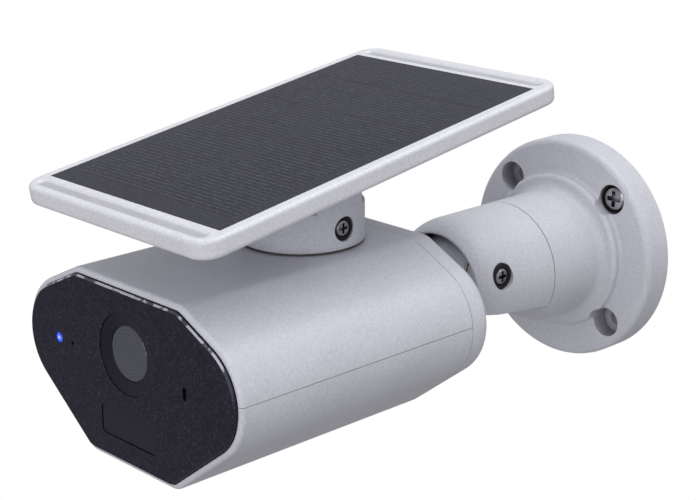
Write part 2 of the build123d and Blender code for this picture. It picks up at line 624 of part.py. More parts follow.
with BuildPart() as lens_element:
    with BuildSketch(Plane(origin=(0, 0, BELT_Z))):
        with BuildLine():
            Line((0, -192.4), (0, -194.6))
            ThreePointArc((0, -194.6), (2.0, -194.35), (3.9, -193.5))
            Line((3.9, -193.5), (3.9, -192.4))
            Line((3.9, -192.4), (0, -192.4))
        make_face()
    revolve(axis=Axis((0, 0, BELT_Z), (0, 1, 0)))
finish(lens_element, "lens_element")

with BuildPart() as camera_module:
    with BuildSketch(facing_front(-180.0, z=BELT_Z)):
        Rectangle(18.0, 13.0)
    extrude(amount=6.0)
    with BuildSketch(facing_front(-178.8, z=BELT_Z)):
        Rectangle(24.0, 13.0)
    extrude(amount=1.2)
finish(camera_module, "camera_module")

with BuildPart() as front_board:
    extrude(body_outline(BOARD_Y + BOARD_T, -3.5), amount=BOARD_T)
    add(drill(facing_front(BOARD_Y + BOARD_T), [(0, BELT_Z)], 7.8, BOARD_T), mode=Mode.SUBTRACT)
    add(drill(facing_front(BOARD_Y + BOARD_T), FRONT_POSTS, 1.0, BOARD_T), mode=Mode.SUBTRACT)
finish(front_board, "front_board")

with BuildPart() as board_screws:
    for post_x, post_z in FRONT_POSTS:
        add(machine_screw(facing_back(BOARD_Y + BOARD_T, post_x, post_z), 2.2, 1.4, 1.0, 6.5))
finish(board_screws, "board_screws")

with BuildPart() as motion_window:
    with BuildSketch(facing_front(-200.2, z=WINDOW_Z)):
        RectangleRounded(WINDOW_W, WINDOW_H, 1.35)
    extrude(amount=1.6)
    fillet(motion_window.faces().sort_by(Axis.Y)[0].edges(), 0.3)
finish(motion_window, "motion_window")

with BuildPart() as motion_sensor:
    add(spun_about_y([
        (0, -197.6), (4.1, -197.6), (4.1, -192.6), (4.5, -192.6), (4.5, BOARD_Y), (0, BOARD_Y),
    ], z=WINDOW_Z))
finish(motion_sensor, "motion_sensor")

with BuildPart() as status_light:
    with BuildSketch(facing_front(BOARD_Y, LED_X, DOT_Z)):
        Circle(LED_R)
    extrude(amount=BOARD_Y - FRONT_Y)
    fillet(status_light.faces().sort_by(Axis.Y)[0].edges(), 0.4)
finish(status_light, "status_light")

with BuildPart() as light_sensor:
    with BuildSketch(facing_front(BOARD_Y, EYE_X, DOT_Z)):
        Rectangle(2.0, 2.0)
    extrude(amount=1.0)
finish(light_sensor, "light_sensor")

with BuildPart() as microphone:
    with BuildSketch(facing_front(BOARD_Y, MIC_X, MIC_Z)):
        Rectangle(2.6, 3.6)
    extrude(amount=1.1)
finish(microphone, "microphone")

# ---------------------------------------------------------------- electronics and battery

CELL_R, CELL_L, CELL_X, CELL_Z, CELL_BACK = 9.2, 65.0, 9.6, -12.0, -122.0

with BuildPart() as main_board:
    with BuildSketch(Plane.XY.offset(BOARD_TOP)):
        with Locations((0, -149.0)):
            RectangleRounded(58.0, 64.0, 2.0)
        with Locations(*BOARD_POSTS):
            Circle(1.0, mode=Mode.SUBTRACT)
    extrude(amount=-1.6)
finish(main_board, "main_board")

with BuildPart() as main_board_screws:
    for post_x, post_y in BOARD_POSTS:
        under = Plane(origin=(post_x, post_y, BOARD_TOP - 1.6), x_dir=(1, 0, 0), z_dir=(0, 0, -1))
        add(machine_screw(under, 2.2, 1.4, 1.0, 6.5))
finish(main_board_screws, "main_board_screws")

with BuildPart() as radio_shield:
    with BuildSketch(Plane.XY.offset(BOARD_TOP)):
        with Locations((0, -167.0)):
            RectangleRounded(22.0, 18.0, 1.0)
    extrude(amount=3.0)
finish(radio_shield, "radio_shield")

with BuildPart() as antenna:
    with BuildSketch(Plane.XY.offset(BOARD_TOP)):
        with Locations((0, -180.0)):
            Rectangle(30.0, 1.0)
    extrude(amount=7.0)
finish(antenna, "antenna")

with BuildPart() as battery_cells:
    with BuildSketch(facing_front(CELL_BACK)):
        with Locations((-CELL_X, CELL_Z), (CELL_X, CELL_Z)):
            Circle(CELL_R)
    extrude(amount=CELL_L)
    chamfer(battery_cells.edges(), 0.8)
finish(battery_cells, "battery_cells")

with BuildPart() as battery_tray:
    with BuildSketch(facing_front(CELL_BACK + 1.3)):
        with Locations((0, CELL_Z - 5.3)):
            Rectangle(40.4, 10.6)
    extrude(amount=CELL_L + 2.6)
    chamfer(battery_tray.edges().filter_by(Axis.Y).group_by(Axis.Z)[0], 3.0)
    with BuildSketch(facing_front(CELL_BACK + 0.1)):
        with Locations((-CELL_X, CELL_Z), (CELL_X, CELL_Z)):
            Circle(CELL_R + 0.05)
    extrude(amount=CELL_L + 0.2, mode=Mode.SUBTRACT)
finish(battery_tray, "battery_tray")

# ---------------------------------------------------------------- turret under the solar panel

TURRET_FOOT = HOUSING_TOP + 0.8
SPINDLE_END, RETAINER_T = 26.4, 1.6
SCREW_SEAT, HINGE_HEAD_R, HINGE_HEAD_H, HINGE_RECESS_R = 16.6, 2.6, 1.9, 3.8
NUT_SEAT, NUT_R, NUT_T = -16.2, 4.0, 2.4
TONGUE_R, SLOT_R = 4.4, 4.9

with BuildPart() as turret_bearing:
    for ring_r, ring_bottom, ring_top in (
        (BEARING_R, SPINDLE_END + 0.4, HOUSING_TOP), (17.6, HOUSING_TOP, HOUSING_TOP + 0.5),
    ):
        with BuildSketch(Plane(origin=(0, TURRET_Y, ring_bottom))):
            Circle(ring_r)
            Circle(SPINDLE_R + RUNNING, mode=Mode.SUBTRACT)
        extrude(amount=ring_top - ring_bottom)
finish(turret_bearing, "turret_bearing")

with BuildPart() as ears:
    with BuildSketch(Plane(origin=(0, TURRET_Y, TURRET_FOOT))):
        Circle(TURRET_R)
        Rectangle(2 * TURRET_R, 2 * EAR_HALF, mode=Mode.INTERSECT)
        Rectangle(2 * FORK_GAP, 2 * EAR_HALF, mode=Mode.SUBTRACT)
    extrude(amount=30)
    # rounded about the hinge, so that the panel's back clears them at every tilt
    with BuildSketch(facing_right(-TURRET_R, TURRET_Y, HINGE_Z)):
        Circle(EAR_TOP_R)
    extrude(amount=2 * TURRET_R, mode=Mode.INTERSECT)

with BuildPart() as turret:
    with BuildSketch(Plane(origin=(0, TURRET_Y, TURRET_FOOT))):
        Circle(TURRET_R)
    extrude(amount=TURRET_TOP - TURRET_FOOT)
    fillet(turret.faces().sort_by(Axis.Z)[-1].edges(), 0.6)
    add(ears.part)
    with BuildSketch(Plane(origin=(0, TURRET_Y, SPINDLE_END))):
        Circle(SPINDLE_R)
    extrude(amount=TURRET_FOOT - SPINDLE_END)
    # slot that the panel's tongue tilts in, flared upwards
    with BuildSketch(facing_right(-FORK_GAP, TURRET_Y, HINGE_Z)):
        Circle(SLOT_R)
        with BuildLine():
            Polyline((-SLOT_R, 0), (SLOT_R, 0), (SLOT_R + 3.8, 10), (-SLOT_R - 3.8, 10), close=True)
        make_face()
    extrude(amount=2 * FORK_GAP, mode=Mode.SUBTRACT)
    with BuildSketch(facing_right(SCREW_SEAT, TURRET_Y, HINGE_Z)):
        Circle(HINGE_RECESS_R)
    extrude(amount=5, mode=Mode.SUBTRACT)
    with BuildSketch(facing_left(NUT_SEAT, TURRET_Y, HINGE_Z)):
        RegularPolygon(NUT_R + 0.1, 6)
    extrude(amount=5, mode=Mode.SUBTRACT)
    with BuildSketch(facing_right(-TURRET_R, TURRET_Y, HINGE_Z)):
        Circle(HINGE_SHANK_R)
    extrude(amount=2 * TURRET_R, mode=Mode.SUBTRACT)
    with BuildSketch(Plane(origin=(0, TURRET_Y, SPINDLE_END))):
        with PolarLocations(9.0, 3, start_angle=90):
            Circle(1.2)
    extrude(amount=4.0, mode=Mode.SUBTRACT)
finish(turret, "turret")

with BuildPart() as turret_retainer:
    with BuildSketch(Plane(origin=(0, TURRET_Y, SPINDLE_END - RETAINER_T))):
        Circle(17.4)
        with PolarLocations(9.0, 3, start_angle=90):
            Circle(1.2, mode=Mode.SUBTRACT)
    extrude(amount=RETAINER_T)
finish(turret_retainer, "turret_retainer")

with BuildPart() as retainer_screws:
    for turn in (90, 210, 330):
        seat = Plane(
            origin=(9.0 * cos(radians(turn)), TURRET_Y + 9.0 * sin(radians(turn)), SPINDLE_END - RETAINER_T),
            x_dir=(1, 0, 0), z_dir=(0, 0, -1),
        )
        add(machine_screw(seat, 2.3, 1.4, 1.2, 5.4))
finish(retainer_screws, "retainer_screws")

with BuildPart() as hinge_screw:
    add(machine_screw(
        facing_right(SCREW_SEAT, TURRET_Y, HINGE_Z), HINGE_HEAD_R, HINGE_HEAD_H, HINGE_SHANK_R,
        SCREW_SEAT - NUT_SEAT + NUT_T + 0.3,
    ))
finish(hinge_screw, "hinge_screw")

with BuildPart() as hinge_seal:
    with BuildSketch(facing_right(SCREW_SEAT, TURRET_Y, HINGE_Z)):
        Circle(HINGE_RECESS_R - 0.05)
        Circle(HINGE_HEAD_R + 0.1, mode=Mode.SUBTRACT)
    extrude(amount=HINGE_HEAD_H - 0.2)
finish(hinge_seal, "hinge_seal")

with BuildPart() as hinge_nut:
    add(hex_nut(facing_left(NUT_SEAT, TURRET_Y, HINGE_Z), NUT_R, NUT_T, HINGE_SHANK_R))
finish(hinge_nut, "hinge_nut")

# ---------------------------------------------------------------- solar panel

TONGUE_HALF, FLANGE_T, FLANGE_L = 13.6, 2.5, 40.0
BACK_T, BACK_INSET = 1.7, 2.5
GROOVE_HALF, GROOVE_R, GROOVE_RISE, GROOVE_IN = 36.0, 2.9, 1.9, 4.2
BACK_UNDER = PANEL_BACK + 0.1
CELLS_UNDER = PANEL_BACK + PANEL_T - CELLS_T - 0.05
LUG_SCREWS = [(x, y) for x in (-9.5, 9.5) for y in (-14.0, 14.0)]
FRAME_SCREWS = [(x, PANEL_SHIFT + y) for x in (-34.0, 34.0) for y in (-65.5, 65.5)]


def panel_level(height):
    """Plane parallel to the glass, at a height above the hinge."""
    return PANEL_PLANE.offset(height)


def along_panel(x):
    """Plane across the panel at x, its local axes along the slope and up out of the glass."""
    slope = (0, cos(radians(PANEL_TILT)), sin(radians(PANEL_TILT)))
    return Plane(origin=(x, TURRET_Y, HINGE_Z), x_dir=slope, z_dir=(1, 0, 0))


def under_panel(height, x, y):
    """Plane facing out of the panel's back at a place on it."""
    spot = PANEL_PLANE.offset(height).from_local_coords(Vector(x, y, 0))
    return Plane(origin=spot, x_dir=(1, 0, 0), z_dir=-PANEL_PLANE.z_dir)


with BuildPart() as panel_lug:
    with BuildSketch(along_panel(-TONGUE_HALF)):
        Circle(TONGUE_R)
        with Locations((0, 0.5 * BACK_UNDER)):
            Rectangle(2 * TONGUE_R, BACK_UNDER)
        with Locations((0, BACK_UNDER - 0.5 * FLANGE_T)):
            Rectangle(FLANGE_L, FLANGE_T)
    extrude(amount=2 * TONGUE_HALF)
    with BuildSketch(along_panel(-TONGUE_HALF)):
        Circle(HINGE_SHANK_R + RUNNING)
    extrude(amount=2 * TONGUE_HALF, mode=Mode.SUBTRACT)
    add(drill(panel_level(BACK_UNDER - FLANGE_T), LUG_SCREWS, 1.3, FLANGE_T), mode=Mode.SUBTRACT)
finish(panel_lug, "panel_lug")

with BuildPart() as lug_screws:
    for spot_x, spot_y in LUG_SCREWS:
        seat = under_panel(BACK_UNDER - FLANGE_T, spot_x, spot_y)
        add(machine_screw(seat, 2.6, 1.7, 1.3, FLANGE_T + BACK_T))
finish(lug_screws, "lug_screws")

with BuildPart() as panel_back:
    with BuildSketch(panel_level(BACK_UNDER)):
        with Locations((0, PANEL_SHIFT)):
            RectangleRounded(PANEL_W - 2 * BACK_INSET, PANEL_L - 2 * BACK_INSET, 5.0)
    extrude(amount=BACK_T)
    add(drill(panel_level(BACK_UNDER), LUG_SCREWS, 1.3, BACK_T), mode=Mode.SUBTRACT)
    add(drill(panel_level(BACK_UNDER), FRAME_SCREWS, 1.1, BACK_T), mode=Mode.SUBTRACT)
    add(drill(panel_level(BACK_UNDER), FRAME_SCREWS, 2.4, 1.0), mode=Mode.SUBTRACT)
finish(panel_back, "panel_back")

with BuildPart() as panel_screws:
    for spot_x, spot_y in FRAME_SCREWS:
        add(machine_screw(under_panel(BACK_UNDER + 1.0, spot_x, spot_y), 2.2, 0.9, 1.1, 3.6, cross=False))
finish(panel_screws, "panel_screws")

with BuildPart() as panel_frame:
    with BuildSketch(panel_level(PANEL_BACK)):
        with Locations((0, PANEL_SHIFT)):
            RectangleRounded(PANEL_W, PANEL_L, 7.0)
    extrude(amount=PANEL_T)
    by_height = panel_frame.faces().sort_by(Axis(PANEL_PLANE.origin, PANEL_PLANE.z_dir))
    fillet(by_height[-1].edges(), 1.3)
    fillet(by_height[0].edges(), 1.6)
    # cell pocket, the opening behind it and the back cover's recess:
    # (width, length, middle, corner, from, depth)
    cover_w, cover_l = PANEL_W - 2 * BACK_INSET + 0.3, PANEL_L - 2 * BACK_INSET + 0.3
    for cut_w, cut_l, middle, corner, cut_from, cut_t in (
        (CELLS_W + 0.2, CELLS_L + 0.2, CELLS_SHIFT, 0.3, CELLS_UNDER, CELLS_T + 1),
        (CELLS_W - 5.0, CELLS_L - 5.0, CELLS_SHIFT, 2.0, PANEL_BACK, PANEL_T),
        (cover_w, cover_l, PANEL_SHIFT, 5.1, PANEL_BACK, BACK_T + 0.1),
    ):
        with BuildSketch(panel_level(cut_from)):
            with Locations((0, middle)):
                RectangleRounded(cut_w, cut_l, corner)
        extrude(amount=cut_t, mode=Mode.SUBTRACT)
    # shallow drainage groove with round ends across each end border
    groove_out, groove_up = 0.5 * CELLS_L + GROOVE_IN, PANEL_BACK + PANEL_T + GROOVE_RISE
    groove_places = [(CELLS_SHIFT - groove_out, groove_up), (CELLS_SHIFT + groove_out, groove_up)]
    with BuildSketch(along_panel(-GROOVE_HALF)):
        with Locations(*groove_places):
            Circle(GROOVE_R)
    extrude(amount=2 * GROOVE_HALF, mode=Mode.SUBTRACT)
    for end_plane in (along_panel(-GROOVE_HALF), along_panel(GROOVE_HALF)):
        with Locations(*[end_plane.from_local_coords(Vector(*place, 0)) for place in groove_places]):
            Sphere(GROOVE_R, mode=Mode.SUBTRACT)
    add(drill(panel_level(BACK_UNDER), FRAME_SCREWS, 1.1, 4.6), mode=Mode.SUBTRACT)
finish(panel_frame, "panel_frame")

with BuildPart() as solar_cells:
    with BuildSketch(panel_level(CELLS_UNDER)):
        with Locations((0, CELLS_SHIFT)):
            Rectangle(CELLS_W, CELLS_L)
    extrude(amount=CELLS_T)
finish(solar_cells, "solar_cells")
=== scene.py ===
from math import cos, radians, sin

import bpy
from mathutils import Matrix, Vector


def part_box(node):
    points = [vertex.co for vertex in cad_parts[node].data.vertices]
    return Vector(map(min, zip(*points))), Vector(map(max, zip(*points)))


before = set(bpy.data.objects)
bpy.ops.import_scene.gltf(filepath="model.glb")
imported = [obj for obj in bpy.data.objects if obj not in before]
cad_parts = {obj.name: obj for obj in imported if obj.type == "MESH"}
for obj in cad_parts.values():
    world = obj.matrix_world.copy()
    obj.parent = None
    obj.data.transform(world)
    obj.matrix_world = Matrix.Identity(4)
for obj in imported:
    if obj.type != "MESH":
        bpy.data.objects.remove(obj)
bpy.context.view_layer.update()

MM = 0.001

# ------------------------------------------------------------------ material building


def scaled(color, share):
    return [min(1.0, channel * share) for channel in color]


class Look:
    """A material being wired up. Positions are the object's own, in metres."""

    def __init__(self, name):
        self.material = bpy.data.materials.new(name)
        self.material.use_nodes = True
        self.tree = self.material.node_tree
        self.tree.nodes.clear()
        self.output = self.tree.nodes.new("ShaderNodeOutputMaterial")
        coordinates = self.add("TexCoord").outputs
        self.place, self.outward = coordinates["Object"], coordinates["Normal"]

    def add(self, kind, options=None, **sockets):
        """A node with its options set, and each named socket given a value or linked."""
        node = self.tree.nodes.new("ShaderNode" + kind)
        for key, value in (options or {}).items():
            setattr(node, key, value)
        for key, value in sockets.items():
            self.feed(node.inputs[key.replace("_", " ")], value)
        return node

    def feed(self, socket, value):
        if isinstance(value, bpy.types.NodeSocket):
            self.tree.links.new(value, socket)
        elif socket.type == "RGBA" and len(value) == 3:
            socket.default_value = (*value, 1.0)
        else:
            socket.default_value = value

    def maths(self, operation, *values, clamp=False):
        node = self.add("Math", {"operation": operation, "use_clamp": clamp})
        for socket, value in zip(node.inputs, values):
            self.feed(socket, value)
        return node.outputs[0]

    def product(self, first, second):
        return self.maths("MULTIPLY", first, second)

    def vector(self, operation, first, second):
        node = self.add("VectorMath", {"operation": operation})
        self.feed(node.inputs[0], first)
        self.feed(node.inputs[1], second)
        return node.outputs["Value" if operation == "DOT_PRODUCT" else "Vector"]

    def grey(self, value):
        return self.add("CombineColor", Red=value, Green=value, Blue=value).outputs[0]

    def blend(self, share, first, second, how="MIX"):
        node = self.add("Mix", {"data_type": "RGBA", "blend_type": how})
        self.feed(node.inputs[0], share)
        self.feed(node.inputs[6], first)
        self.feed(node.inputs[7], second)
        return node.outputs[2]

    def noise(self, scale, detail=2.0, stretch=None):
        """Noise from 0 to 1, whose grain is about 1/scale metres across."""
        where = self.place
        if stretch:
            where = self.add("Mapping", Vector=where, Scale=stretch).outputs[0]
        return self.add("TexNoise", Vector=where, Scale=scale, Detail=detail).outputs["Fac"]

    def span(self, value, low, high, start=0.0, end=1.0):
        """value carried from low..high to start..end, with soft ends."""
        node = self.add(
            "MapRange", {"interpolation_type": "SMOOTHSTEP"},
            Value=value, From_Min=low, From_Max=high, To_Min=start, To_Max=end,
        )
        return node.outputs[0]

    def away_from(self, centre, axis):
        """Distance from the line through centre along the axis, "X", "Y" or "Z"."""
        offset = self.vector("SUBTRACT", self.place, centre)
        flat = self.vector("MULTIPLY", offset, [0.0 if name == axis else 1.0 for name in "XYZ"])
        return self.add("VectorMath", {"operation": "LENGTH"}, Vector=flat).outputs["Value"]

    def rise(self, base, upward):
        """Height above the plane through base whose normal is upward."""
        return self.vector("DOT_PRODUCT", self.vector("SUBTRACT", self.place, base), upward)

    def rounded_normal(self, radius):
        """Shading normal with the edges softened over the radius."""
        return self.add("Bevel", {"samples": 4}, Radius=radius).outputs[0]

    def edge(self, rounded):
        """1 on edges and 0 elsewhere, from how far the rounded normal leans."""
        true = self.add("NewGeometry").outputs["Normal"]
        return self.span(self.vector("DOT_PRODUCT", rounded, true), 0.995, 0.80)

    def corner(self, distance, opening=0.9, shut=0.35):
        """1 in a tight corner or seam and 0 in the open."""
        shade = self.add("AmbientOcclusion", {"samples": 4}, Distance=distance).outputs["AO"]
        return self.span(shade, opening, shut)

    def bump(self, height, depth, normal):
        return self.add("Bump", Height=height, Distance=depth, Normal=normal).outputs[0]

    def surface(self, **sockets):
        """The finished material, with one principled shader."""
        self.feed(self.output.inputs["Surface"], self.add("BsdfPrincipled", **sockets).outputs[0])
        return self.material

    def mixed(self, share, first, second):
        """The finished material, with two shaders mixed."""
        mixer = self.add("MixShader")
        for socket, value in zip(mixer.inputs, (share, first, second)):
            self.feed(socket, value)
        self.feed(self.output.inputs["Surface"], mixer.outputs[0])
        return self.material


SOFT_EDGE = 0.3 * MM
SEAM_REACH, BORE_REACH = 2.2 * MM, 12 * MM  # how near the walls of a seam or a bore are


def moulding(name, color, roughness, grain=2.0e-5, edge_tone=1.06, sheen=(1, 1, 1), sunk=None):
    """Injection-moulded plastic: spark-eroded grain, edges paler from wear and a painted highlight,
    dust and painted shade in the seams, painted shade deep in bores.

    sunk is a point on a face and the face's normal; the level faces below that face get painted
    shade."""
    look = Look(name)
    rounded = look.rounded_normal(SOFT_EDGE)
    edge = look.edge(rounded)
    fine, broad = look.noise(1100, 4), look.noise(55, 4)

    speckle = look.span(fine, 0.3, 0.7, 0.93, 1.05)
    tone = look.maths("ADD", speckle, look.span(broad, 0.3, 0.7, -0.018, 0.018))
    base = look.blend(1.0, color, look.grey(tone), "MULTIPLY")
    # Edges paler: partly wear, partly a painted highlight.
    rubbed_and_highlit = look.product(edge, look.span(broad, 0.35, 0.6, 0.3, 1.0))
    base = look.blend(rubbed_and_highlit, base, scaled(color, edge_tone))
    # Seams and corners found by ambient occlusion are darkened: a little dust and painted shade.
    dust_and_painted_shade = [channel * share for channel, share in zip(color, (0.70, 0.68, 0.64))]
    base = look.blend(look.product(look.corner(SEAM_REACH), 0.55), base, dust_and_painted_shade)
    # Painted shade on the level floor of the groove below the sunk face.
    if sunk:
        face, upward = sunk
        below = look.span(look.rise(face, upward), -0.3 * MM, -0.85 * MM)
        level = look.span(look.vector("DOT_PRODUCT", look.outward, upward), 0.62, 0.8)
        painted_groove_shade = look.product(look.product(below, level), look.span(broad, 0.3, 0.7, 0.8, 1.0))
        base = look.blend(painted_groove_shade, base, scaled(color, 0.62))
    # Painted shade deep inside bores and recesses, found by ambient occlusion.
    deep = look.product(look.corner(BORE_REACH, 0.42, 0.12), 0.85)
    base = look.blend(deep, base, scaled(color, 0.12))

    matt = look.span(fine, 0.2, 0.8, roughness - 0.05, roughness + 0.05)
    return look.surface(
        Base_Color=base, Roughness=look.maths("ADD", matt, look.product(edge, -0.08)),
        Specular_Tint=sheen, Normal=look.bump(fine, grain, rounded),
    )


def metal(name, color, roughness, brushed=(1, 1, 1)):
    """Plated or turned metal: fine tool marks, tarnish in the corners, painted shade deep in
    recesses, bright worn edges.
    """
    look = Look(name)
    rounded = look.rounded_normal(0.12 * MM)
    marks, tarnish = look.noise(2600, 2, brushed), look.noise(300, 3)
    dull = scaled(color, 0.45)
    base = look.blend(look.span(tarnish, 0.35, 0.75, 0.0, 0.5), color, dull)
    base = look.blend(look.product(look.corner(0.8 * MM), 0.75), base, dull)
    # Painted shade: near black deep in recesses.
    base = look.blend(look.corner(1.6 * MM, 0.72, 0.40), base, scaled(color, 0.04))
    base = look.blend(look.product(look.edge(rounded), 0.8), base, scaled(color, 1.35))
    return look.surface(
        Base_Color=base, Metallic=1.0,
        Roughness=look.span(marks, 0.2, 0.8, roughness - 0.08, roughness + 0.12),
        Normal=look.bump(marks, 6.0e-6, rounded),
    )


def rubbery(name, color):
    """Moulded rubber: powdery bloom over a matt ground."""
    look = Look(name)
    rounded = look.rounded_normal(SOFT_EDGE)
    bloom, fine = look.noise(120, 4), look.noise(2000, 2)
    pale = [channel + 0.012 for channel in color]
    return look.surface(
        Base_Color=look.blend(look.span(bloom, 0.4, 0.7), color, pale),
        Roughness=look.span(fine, 0.2, 0.8, 0.72, 0.9), Normal=look.bump(fine, 1.5e-5, rounded),
    )


def circuit(name):
    """Solder mask over copper tracks."""
    look = Look(name)
    bricks = look.add(
        "TexBrick", {"offset": 0.37}, Vector=look.place, Scale=260.0, Mortar_Size=0.06,
        Color1=(0.012, 0.075, 0.032), Color2=(0.016, 0.10, 0.042), Mortar=(0.03, 0.17, 0.07),
    )
    fine = look.noise(1800, 2)
    return look.surface(
        Base_Color=bricks.outputs["Color"], Roughness=look.span(fine, 0.2, 0.8, 0.28, 0.45),
        Normal=look.bump(bricks.outputs["Fac"], 2.0e-5, look.rounded_normal(0.1 * MM)),
    )


# ------------------------------------------------------------------ places taken from the CAD frame


def middle(node):
    low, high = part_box(node)
    return (low + high) / 2


lens_at = middle("lens_window")
lamp_at = middle("status_light")
cells_at = middle("solar_cells")
cells_low, cells_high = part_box("solar_cells")
CELLS_T, CELLS_RECESS = 1.2 * MM, 0.05 * MM
PANEL_TILT = radians(8.84)
PANEL_ALONG = Vector((0.0, cos(PANEL_TILT), sin(PANEL_TILT)))
PANEL_UP = Vector((0.0, -sin(PANEL_TILT), cos(PANEL_TILT)))
CELLS_HALF_L = (cells_high.y - cells_low.y - CELLS_T * sin(PANEL_TILT)) / (2 * cos(PANEL_TILT))
FRAME_FACE = cells_at + (CELLS_T / 2 + CELLS_RECESS) * PANEL_UP


# ------------------------------------------------------------------ materials of the camera's own


DARK_SHEEN = (0.70, 0.68, 1.0)
GLASS_RIPPLE, THREAD_RIPPLE = 6200.0, 9000.0  # radians per metre out from the lens axis
COLLECTOR_PITCH, CELL_L, FIRST_SEAM = 1.8 * MM, 23.6 * MM, 6.0 * MM
ROW_GAP, ROW_EDGE, END_MARGIN = 1.3 * MM, 34.4 * MM, 6.6 * MM


def laminate():
    """Solar cells under a textured film: collector lines on two rows of cells with bare margins."""
    look = Look("solar_laminate")
    along, across = look.rise(cells_at, PANEL_ALONG), look.rise(cells_at, (1.0, 0.0, 0.0))
    cloud, fine, worn = look.noise(28, 4), look.noise(1050, 3), look.noise(420, 3)

    from_middle, from_centre = look.maths("ABSOLUTE", across), look.maths("ABSOLUTE", along)
    past_gap = look.span(from_middle, ROW_GAP, ROW_GAP + 0.6 * MM)
    inside_edge = look.span(from_middle, ROW_EDGE - 0.8 * MM, ROW_EDGE, 1.0, 0.0)
    cells_end = CELLS_HALF_L - END_MARGIN
    inside_end = look.span(from_centre, cells_end - 0.9 * MM, cells_end, 1.0, 0.0)
    active = look.product(look.product(past_gap, inside_edge), inside_end)

    off_line = look.maths("PINGPONG", along, COLLECTOR_PITCH / 2)
    line = look.span(off_line, 0.12 * MM, 0.42 * MM, 1.0, 0.0)
    line = look.product(look.product(line, look.span(worn, 0.35, 0.62, 0.35, 1.0)), active)
    along_cells = look.maths("PINGPONG", look.maths("ADD", along, FIRST_SEAM), CELL_L / 2)
    seam = look.product(look.span(along_cells, 0.25 * MM, 0.7 * MM, 1.0, 0.0), active)

    mottled = look.span(cloud, 0.3, 0.7)
    film = look.blend(mottled, (0.017, 0.016, 0.026), (0.023, 0.022, 0.033))
    cell = look.blend(mottled, (0.006, 0.0055, 0.012), (0.010, 0.0094, 0.018))
    base = look.blend(active, film, cell)
    base = look.blend(look.product(line, 0.9), base, (0.066, 0.065, 0.084))
    base = look.blend(look.product(seam, 0.8), base, (0.006, 0.006, 0.009))
    base = look.blend(look.span(fine, 0.52, 0.70, 0.0, 0.75), base, (0.060, 0.059, 0.076))
    base = look.blend(look.span(fine, 0.48, 0.30, 0.0, 0.75), base, (0.003, 0.003, 0.006))
    height = look.maths("ADD", look.product(line, 0.6), fine)
    return look.surface(
        Base_Color=base, Roughness=look.span(fine, 0.2, 0.8, 0.34, 0.5), IOR=1.4,
        Specular_Tint=(0.68, 0.68, 1.0),
        Normal=look.bump(height, 1.6e-5, look.rounded_normal(0.2 * MM)),
    )


def front_gloss():
    """Black cover: mottled plastic, with a painted highlight on its edges and a broken painted
    highlight along its upper chamfer.
    """
    look = Look("front_gloss")
    rounded = look.rounded_normal(0.22 * MM)
    mottle, fine = look.noise(420, 5), look.noise(1700, 3)
    dark, darkest = (0.0060, 0.0054, 0.0125), (0.0018, 0.0014, 0.0065)
    base = look.blend(look.span(mottle, 0.35, 0.7), darkest, dark)
    base = look.blend(look.span(fine, 0.50, 0.70, 0.0, 0.8), base, (0.036, 0.035, 0.049))
    # Painted highlight on the cover's edges.
    base = look.blend(look.product(look.edge(rounded), 0.6), base, (0.06, 0.06, 0.075))

    # Painted highlight on the upward-facing chamfer, broken into dashes by noise.
    leaning = look.add("SeparateXYZ", Vector=look.outward).outputs
    upward, sideways = look.span(leaning["Z"], 0.40, 0.52), look.span(leaning["Y"], -0.45, -0.6)
    broken = look.span(look.noise(330, 3), 0.40, 0.54, 0.10, 1.0)
    ledge_highlight = look.product(look.product(upward, sideways), broken)
    base = look.blend(ledge_highlight, base, (0.52, 0.52, 0.58))
    return look.surface(
        Base_Color=base, Roughness=look.span(fine, 0.2, 0.8, 0.34, 0.48),
        Coat_Weight=0.1, Coat_Roughness=0.09,
        Specular_Tint=DARK_SHEEN, Coat_Tint=(0.85, 0.85, 1.0),
        Normal=look.bump(fine, 1.0e-5, rounded), Coat_Normal=rounded,
    )


def lens_glass(name, tint, cover):
    """Coated lens glass: see-through in the middle, a grey-brown bloom and faint turning rings."""
    look = Look(name)
    radius = look.away_from(lens_at, "Y")
    ring = look.maths("SINE", look.product(radius, GLASS_RIPPLE))
    through = look.add("BsdfTransparent", Color=(0.62, 0.60, 0.60)).outputs[0]
    haze = look.add(
        "BsdfPrincipled",
        Base_Color=look.blend(look.span(ring, -1.0, 1.0), scaled(tint, 0.90), scaled(tint, 1.18)),
        Roughness=look.span(look.noise(1700, 3), 0.2, 0.8, 0.10, 0.22),
        Coat_Weight=0.6, Coat_Roughness=0.03,
        Normal=look.bump(ring, 3.0e-6, look.add("NewGeometry").outputs["Normal"]),
    ).outputs[0]
    facing = look.add("LayerWeight", Blend=0.35).outputs["Facing"]
    share = look.maths("ADD", look.product(facing, 0.5), cover, clamp=True)
    return look.mixed(share, through, haze)


def lamp_glow():
    """Blue light pipe: white-hot in the middle, deep blue at its rim."""
    look = Look("lamp_glow")
    radius = look.away_from(lamp_at, "Y")
    uneven = look.span(look.noise(900, 2), 0.3, 0.7, -0.1, 0.1)
    heat = look.maths("ADD", look.span(radius, 0.1 * MM, 1.1 * MM, 1.0, 0.0), uneven)
    color = look.blend(heat, (0.015, 0.03, 0.95), (0.30, 0.45, 1.0))
    return look.surface(
        Base_Color=(0.05, 0.10, 0.6), Roughness=0.2, Emission_Color=color,
        Emission_Strength=look.span(heat, 0.0, 1.0, 0.55, 1.5),
    )


def barrel_black():
    """Lens barrel: black with fine turned threads that catch the light."""
    look = Look("barrel_black")
    thread = look.maths("SINE", look.product(look.away_from(lens_at, "Y"), THREAD_RIPPLE))
    base = look.blend(look.span(thread, 0.2, 1.0), (0.010, 0.010, 0.012), (0.055, 0.052, 0.055))
    return look.surface(
        Base_Color=base, Roughness=look.span(look.noise(1500, 2), 0.2, 0.8, 0.35, 0.5),
        Normal=look.bump(thread, 4.0e-5, look.rounded_normal(0.1 * MM)),
    )


